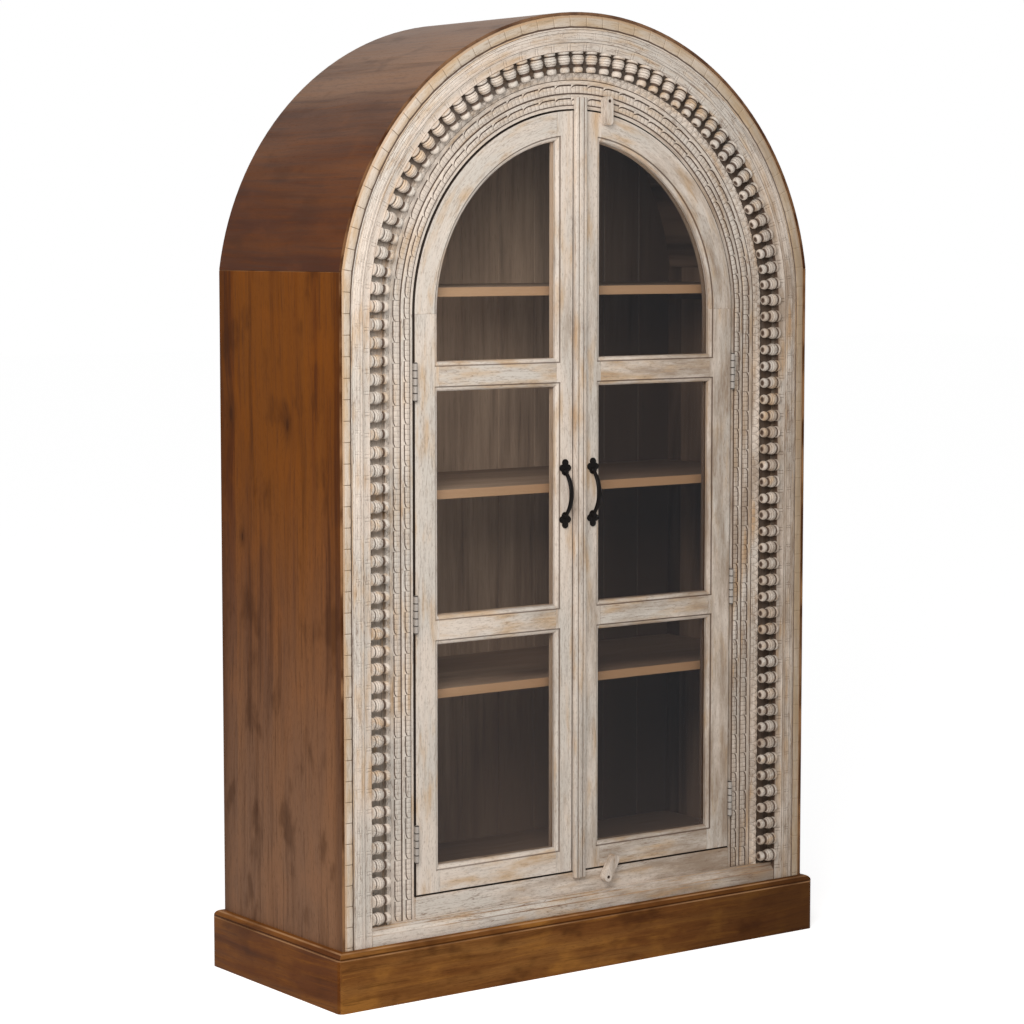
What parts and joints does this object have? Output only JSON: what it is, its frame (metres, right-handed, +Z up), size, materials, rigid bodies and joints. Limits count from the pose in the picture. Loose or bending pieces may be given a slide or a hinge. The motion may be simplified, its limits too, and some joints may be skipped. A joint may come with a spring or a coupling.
{
  "type": "arched display cabinet",
  "caption": "Tall round-headed display cabinet with a carved, spindle-lined front, glazed double doors, turn latches and inner shelves.",
  "frame": {"origin": "centre of the plinth footprint on the floor", "axes": "+Z up, the doors face -Y, +X to the right seen from the front"},
  "size_m": [1.256, 0.5, 1.9999],
  "materials": {
    "stained_wood": "mid-brown stain, satin, worn at the edges",
    "whitewashed_wood": "distressed off-white wash, matte, rubbed through to tan wood on the edges",
    "interior_wood": "dark greyish brown, matte",
    "pane_glass": "clear, polished",
    "black_iron": "black, satin",
    "hinge_steel": "bright steel, slightly dulled"
  },
  "bodies": {
    "cabinet": {"arch_roof": "stained_wood", "arch_spindles": "whitewashed_wood", "back_planks": "interior_wood", "cove_moulding_arch": "whitewashed_wood", "cove_moulding_posts": "whitewashed_wood", "edge_moulding_arch": "whitewashed_wood", "edge_moulding_posts": "whitewashed_wood", "floor_panel": "interior_wood", "front_arch": "whitewashed_wood", "front_sill": "whitewashed_wood", "hinge_frame_leaves": "hinge_steel", "hinge_pins": "hinge_steel", "leaf_moulding_arch": "whitewashed_wood", "leaf_moulding_posts": "whitewashed_wood", "left_front_post": "whitewashed_wood", "left_side_panel": "stained_wood", "left_spindles": "whitewashed_wood", "lower_shelf": "interior_wood", "middle_shelf": "interior_wood", "notched_moulding_arch": "whitewashed_wood", "notched_moulding_posts": "whitewashed_wood", "plinth_back": "stained_wood", "plinth_front": "stained_wood", "plinth_left": "stained_wood", "plinth_right": "stained_wood", "right_front_post": "whitewashed_wood", "right_side_panel": "stained_wood", "right_spindles": "whitewashed_wood", "rope_moulding_arch": "whitewashed_wood", "rope_moulding_posts": "whitewashed_wood", "shelf_cleats": "interior_wood", "sill_moulding": "whitewashed_wood", "top_shelf": "interior_wood"},
    "left_door": {"left_hinge_stile": "whitewashed_wood", "left_meeting_stile": "whitewashed_wood", "left_arch_rail": "whitewashed_wood", "left_upper_rail": "whitewashed_wood", "left_lower_rail": "whitewashed_wood", "left_bottom_rail": "whitewashed_wood", "left_arch_glass": "pane_glass", "left_lower_glass": "pane_glass", "left_glazing_beads": "whitewashed_wood", "left_pull": "black_iron", "left_hinge_leaves": "hinge_steel"},
    "right_door": {"right_hinge_stile": "whitewashed_wood", "right_meeting_stile": "whitewashed_wood", "right_arch_rail": "whitewashed_wood", "right_upper_rail": "whitewashed_wood", "right_lower_rail": "whitewashed_wood", "right_bottom_rail": "whitewashed_wood", "right_arch_glass": "pane_glass", "right_lower_glass": "pane_glass", "right_glazing_beads": "whitewashed_wood", "right_pull": "black_iron", "right_hinge_leaves": "hinge_steel", "astragal": "whitewashed_wood", "latch_pins": "whitewashed_wood"},
    "top_latch": {"top_latch": "whitewashed_wood"},
    "bottom_latch": {"bottom_latch": "whitewashed_wood"}
  },
  "joints": [
    {"name": "left_door_hinge", "type": "hinge", "parent": "cabinet", "child": "left_door", "pos_m": [-0.41575, -0.211, 0.78], "axis": [0, 0, -1], "range_deg": [0, 110]},
    {"name": "right_door_hinge", "type": "hinge", "parent": "cabinet", "child": "right_door", "pos_m": [0.41575, -0.211, 0.78], "axis": [0, 0, 1], "range_deg": [0, 110]},
    {"name": "top_latch_pivot", "type": "hinge", "parent": "right_door", "child": "top_latch", "pos_m": [0.0655, -0.2063, 1.78099], "axis": [0, 1, 0], "range_deg": [0, 110]},
    {"name": "bottom_latch_pivot", "type": "hinge", "parent": "right_door", "child": "bottom_latch", "pos_m": [0.088, -0.2063, 0.219], "axis": [0, -1, 0], "range_deg": [0, 120]}
  ]
}
